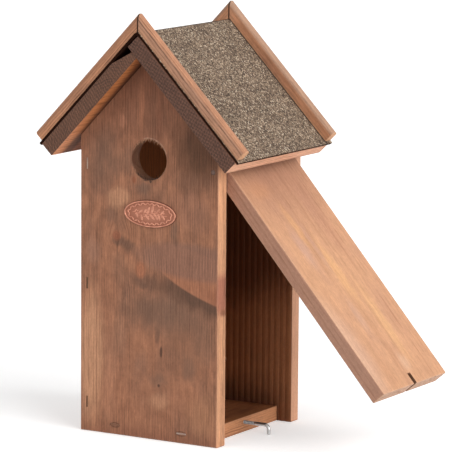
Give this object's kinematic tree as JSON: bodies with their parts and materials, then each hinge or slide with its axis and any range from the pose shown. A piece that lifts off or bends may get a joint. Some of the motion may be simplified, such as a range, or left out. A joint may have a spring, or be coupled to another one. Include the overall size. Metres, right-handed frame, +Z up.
{
  "type": "bird nest box",
  "caption": "Wooden nest box with a round entrance, a felted gable roof with capping strips, a side door that swings up on nails and an L-shaped latch hook.",
  "frame": {"origin": "middle of the base, on the surface that the box stands on", "axes": "+Z up, -Y out of the front with the entrance, +X out of the side with the door"},
  "size_m": [0.2993, 0.146, 0.3372],
  "materials": {
    "stained_board": "brown-stained planed softwood, matt",
    "light_board": "thinly stained planed softwood, matt",
    "roof_board": "brown-stained sawn softwood, matt",
    "strip": "brown-stained rounded strip, matt",
    "felt": "bitumen felt with grey-brown mineral granules",
    "plaque": "stamped copper-coloured sheet, satin",
    "zinc": "bright zinc-plated wire",
    "wire": "plain steel wire"
  },
  "bodies": {
    "box": {"front_panel": "stained_board", "back_panel": "stained_board", "left_wall": "stained_board", "floor_board": "stained_board", "roof_board_left": "roof_board", "roof_board_right": "roof_board", "front_strip_left": "strip", "front_strip_right": "strip", "rear_strip_left": "strip", "rear_strip_right": "strip", "roof_felt": "felt", "oval_plaque": "plaque", "hinge_nail_front": "wire", "hinge_nail_rear": "wire", "front_wall_staples": "wire", "front_floor_staples": "wire", "back_wall_staples": "wire", "back_floor_staples": "wire", "roof_staples_left": "wire", "roof_staples_right": "wire", "strip_pins_left": "wire", "strip_pins_right": "wire", "ridge_pins": "wire"},
    "door": {"side_door": "light_board"},
    "hook": {"latch_hook": "zinc"}
  },
  "joints": [
    {"name": "door_swing", "type": "hinge", "parent": "box", "child": "door", "pos_m": [0.0585, 0, 0.21654], "axis": [0, -1, 0], "range_deg": [-41, 42]},
    {"name": "hook_turn", "type": "hinge", "parent": "box", "child": "hook", "pos_m": [0.0507, 0, 0.008], "axis": [1, 0, 0], "continuous": true}
  ]
}
